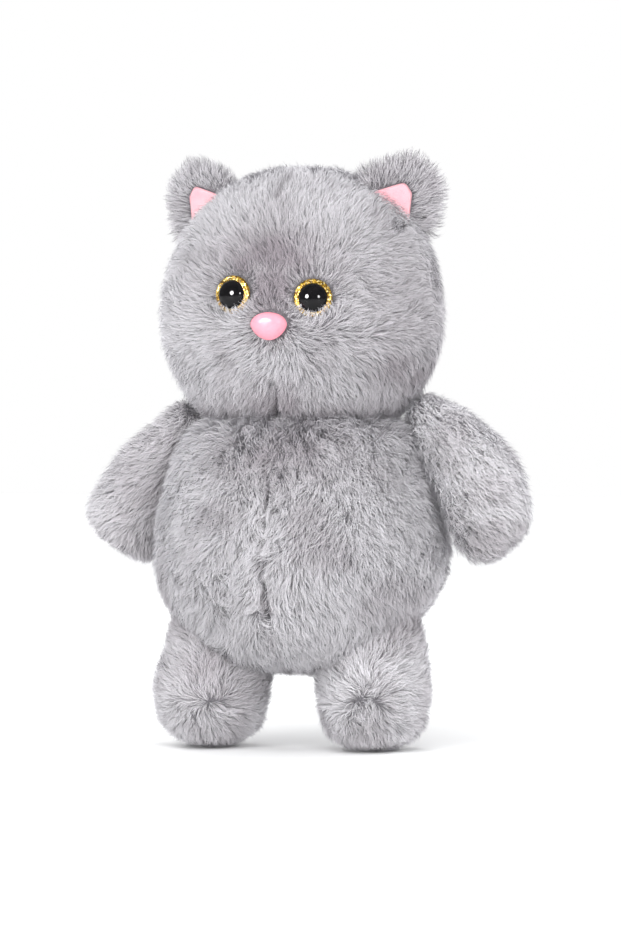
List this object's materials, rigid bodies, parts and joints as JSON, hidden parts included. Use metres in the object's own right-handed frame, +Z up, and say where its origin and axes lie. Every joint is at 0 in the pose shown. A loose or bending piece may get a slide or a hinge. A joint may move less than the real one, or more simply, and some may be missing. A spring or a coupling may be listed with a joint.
{
  "type": "plush cat",
  "caption": "Stuffed plush cat with a big round head, pink-lined ears, glitter eyes, a pink nose and stubby arms and legs.",
  "frame": {"origin": "on the floor, below the middle of the toy's bounding box", "axes": "+Z up, from the soles to the ears; +X towards the toy's own left arm; -Y out of the face"},
  "size_m": [0.256, 0.1558, 0.3294],
  "materials": {
    "grey_pile": "soft brushed pile",
    "pink_velour": "short velour",
    "black_plastic": "glossy",
    "gold_glitter": "gold glitter under clear plastic",
    "pink_plastic": "glossy",
    "washer_plastic": "matt",
    "filling": "loose fibre"
  },
  "bodies": {
    "torso": {"belly_panel_left": "grey_pile", "belly_panel_right": "grey_pile", "back_panel_left": "grey_pile", "back_panel_right": "grey_pile", "torso_stuffing": "filling"},
    "head": {"face_panel_left": "grey_pile", "face_panel_right": "grey_pile", "head_back_panel": "grey_pile", "head_stuffing": "filling", "nose": "pink_plastic", "nose_lock_washer": "washer_plastic", "ear_back_left": "grey_pile", "ear_lining_left": "pink_velour", "eye_pupil_left": "black_plastic", "eye_glitter_ring_left": "gold_glitter", "eye_lock_washer_left": "washer_plastic", "ear_back_right": "grey_pile", "ear_lining_right": "pink_velour", "eye_pupil_right": "black_plastic", "eye_glitter_ring_right": "gold_glitter", "eye_lock_washer_right": "washer_plastic"},
    "arm_left": {"arm_front_panel_left": "grey_pile", "arm_back_panel_left": "grey_pile", "arm_stuffing_left": "filling"},
    "arm_right": {"arm_front_panel_right": "grey_pile", "arm_back_panel_right": "grey_pile", "arm_stuffing_right": "filling"},
    "leg_left": {"leg_front_panel_left": "grey_pile", "leg_back_panel_left": "grey_pile", "leg_stuffing_left": "filling"},
    "leg_right": {"leg_front_panel_right": "grey_pile", "leg_back_panel_right": "grey_pile", "leg_stuffing_right": "filling"}
  },
  "joints": [
    {"name": "neck_turn", "type": "hinge", "parent": "torso", "child": "head", "pos_m": [-0.00535, -0.0021, 0.1795], "axis": [0, 0, 1], "range_deg": [-35, 35], "stiffness_Nm_per_rad": 0.6},
    {"name": "shoulder_swing_left", "type": "hinge", "parent": "torso", "child": "arm_left", "pos_m": [0.06065, -0.0011, 0.178], "axis": [-1, 0, 0], "range_deg": [-25, 70], "stiffness_Nm_per_rad": 0.4},
    {"name": "shoulder_swing_right", "type": "hinge", "parent": "torso", "child": "arm_right", "pos_m": [-0.07135, -0.0011, 0.178], "axis": [-1, 0, 0], "range_deg": [-25, 70], "stiffness_Nm_per_rad": 0.4},
    {"name": "hip_swing_left", "type": "hinge", "parent": "torso", "child": "leg_left", "pos_m": [0.04085, -0.0121, 0.062], "axis": [-1, 0, 0], "range_deg": [-20, 30], "stiffness_Nm_per_rad": 2},
    {"name": "hip_swing_right", "type": "hinge", "parent": "torso", "child": "leg_right", "pos_m": [-0.05155, -0.0121, 0.062], "axis": [-1, 0, 0], "range_deg": [-20, 30], "stiffness_Nm_per_rad": 2}
  ]
}
